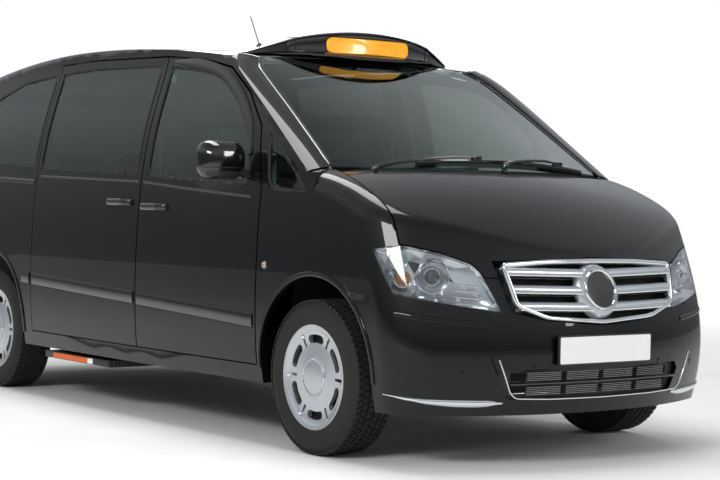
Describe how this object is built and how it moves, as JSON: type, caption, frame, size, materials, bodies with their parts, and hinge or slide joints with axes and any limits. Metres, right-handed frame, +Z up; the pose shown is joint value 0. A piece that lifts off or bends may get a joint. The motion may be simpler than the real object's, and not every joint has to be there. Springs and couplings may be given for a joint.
{
  "type": "taxi cab",
  "caption": "Black van-bodied taxi cab with a lit roof sign, sliding side doors, opening bonnet, front doors and tailgate, steered front wheels and slide-out side steps.",
  "frame": {"origin": "on the floor below the middle of the length and width", "axes": "+X forward to the nose, +Y to the left side, +Z up"},
  "size_m": [5.0029, 2.3238, 2.0184],
  "materials": {
    "amber_lens": "clear amber",
    "black_paint": "deep gloss clear coat",
    "black_plastic": "grained",
    "chassis_steel": "black paint",
    "clear_lens": "clear",
    "engine_iron": "cast",
    "floor_paint": "satin primer",
    "gloss_black": "gloss",
    "lamp_silver": "bright reflector",
    "red_lens": "clear red",
    "screen_glass": "green tint",
    "seat_fabric": "woven",
    "silver_paint": "satin silver",
    "step_rubber": "ribbed",
    "tyre_rubber": "matt",
    "wheel_rim_grip": "fine grain",
    "wheel_silver": "silver lacquer"
  },
  "bodies": {
    "vehicle": {"aerial": "black_plastic", "body_side_left": "black_paint", "body_side_right": "black_paint", "bulkhead": "floor_paint", "cowl": "black_plastic", "dashboard": "black_plastic", "driver_seat": "seat_fabric", "engine": "engine_iron", "exhaust": "chassis_steel", "floor_pan": "floor_paint", "folding_seats": "seat_fabric", "front_bumper": "black_paint", "front_carrier": "black_plastic", "front_rails": "floor_paint", "front_subframe": "chassis_steel", "front_wing_left": "black_paint", "front_wing_right": "black_paint", "fuel_tank": "chassis_steel", "grille": "silver_paint", "headlamp_lenses": "clear_lens", "headlamps": "lamp_silver", "lower_grille": "black_plastic", "partition": "black_plastic", "rear_axle": "chassis_steel", "rear_bench": "seat_fabric", "rear_bumper": "black_paint", "roof_panel": "black_paint", "side_glass_left": "screen_glass", "side_glass_right": "screen_glass", "sign_lens": "amber_lens", "sliding_door_left": "black_paint", "sliding_door_right": "black_paint", "step_housings": "black_plastic", "tail_lamps": "red_lens", "taxi_sign": "gloss_black", "windscreen": "screen_glass"},
    "door_left": {"front_door_left": "black_paint", "door_glass_left": "screen_glass", "mirror_left": "gloss_black"},
    "door_right": {"front_door_right": "black_paint", "door_glass_right": "screen_glass", "mirror_right": "gloss_black"},
    "bonnet": {"bonnet": "black_paint"},
    "tailgate": {"tailgate": "black_paint", "tailgate_glass": "screen_glass"},
    "steering_wheel": {"steering_wheel": "wheel_rim_grip"},
    "knuckle_left": {"knuckle_left": "chassis_steel"},
    "knuckle_right": {"knuckle_right": "chassis_steel"},
    "step_left": {"side_step_left": "step_rubber"},
    "step_right": {"side_step_right": "step_rubber"},
    "wheel_front_left": {"wheel_front_left": "wheel_silver", "tyre_front_left": "tyre_rubber"},
    "wheel_front_right": {"wheel_front_right": "wheel_silver", "tyre_front_right": "tyre_rubber"},
    "wheel_rear_left": {"wheel_rear_left": "wheel_silver", "tyre_rear_left": "tyre_rubber"},
    "wheel_rear_right": {"wheel_rear_right": "wheel_silver", "tyre_rear_right": "tyre_rubber"}
  },
  "joints": [
    {"name": "steering", "type": "hinge", "parent": "vehicle", "child": "steering_wheel", "pos_m": [0.96, -0.38, 1.04], "axis": [-0.8829, 0, 0.4695], "range_deg": [-540, 540]},
    {"name": "steer_left", "type": "hinge", "parent": "vehicle", "child": "knuckle_left", "pos_m": [1.654, 0.74, 0.336], "axis": [0, 0, 1], "range_deg": [-36, 36]},
    {"name": "steer_right", "type": "hinge", "parent": "vehicle", "child": "knuckle_right", "pos_m": [1.654, -0.74, 0.336], "axis": [0, 0, 1], "range_deg": [-36, 36]},
    {"name": "spin_front_left", "type": "hinge", "parent": "knuckle_left", "child": "wheel_front_left", "pos_m": [1.654, 0.815, 0.336], "axis": [0, 1, 0], "continuous": true},
    {"name": "spin_front_right", "type": "hinge", "parent": "knuckle_right", "child": "wheel_front_right", "pos_m": [1.654, -0.815, 0.336], "axis": [0, 1, 0], "continuous": true},
    {"name": "spin_rear_left", "type": "hinge", "parent": "vehicle", "child": "wheel_rear_left", "pos_m": [-1.546, 0.815, 0.336], "axis": [0, 1, 0], "continuous": true},
    {"name": "spin_rear_right", "type": "hinge", "parent": "vehicle", "child": "wheel_rear_right", "pos_m": [-1.546, -0.815, 0.336], "axis": [0, 1, 0], "continuous": true},
    {"name": "door_left_hinge", "type": "hinge", "parent": "vehicle", "child": "door_left", "pos_m": [1.141, 0.908, 0.7], "axis": [0, 0, -1], "range_deg": [0, 68]},
    {"name": "door_right_hinge", "type": "hinge", "parent": "vehicle", "child": "door_right", "pos_m": [1.141, -0.908, 0.7], "axis": [0, 0, 1], "range_deg": [0, 68]},
    {"name": "bonnet_hinge", "type": "hinge", "parent": "vehicle", "child": "bonnet", "pos_m": [1.6, 0, 1.19], "axis": [0, -1, 0], "range_deg": [0, 50]},
    {"name": "tailgate_hinge", "type": "hinge", "parent": "vehicle", "child": "tailgate", "pos_m": [-2.141, 0, 1.782], "axis": [0, 1, 0], "range_deg": [0, 85]},
    {"name": "step_left_slide", "type": "slide", "parent": "vehicle", "child": "step_left", "axis": [0, 1, 0], "range_m": [0, 0.2]},
    {"name": "step_right_slide", "type": "slide", "parent": "vehicle", "child": "step_right", "axis": [0, -1, 0], "range_m": [0, 0.2]}
  ],
  "couplings": [
    {"joint": "steer_left", "follows": "steering", "ratio": 0.0666},
    {"joint": "steer_right", "follows": "steering", "ratio": 0.0666}
  ]
}
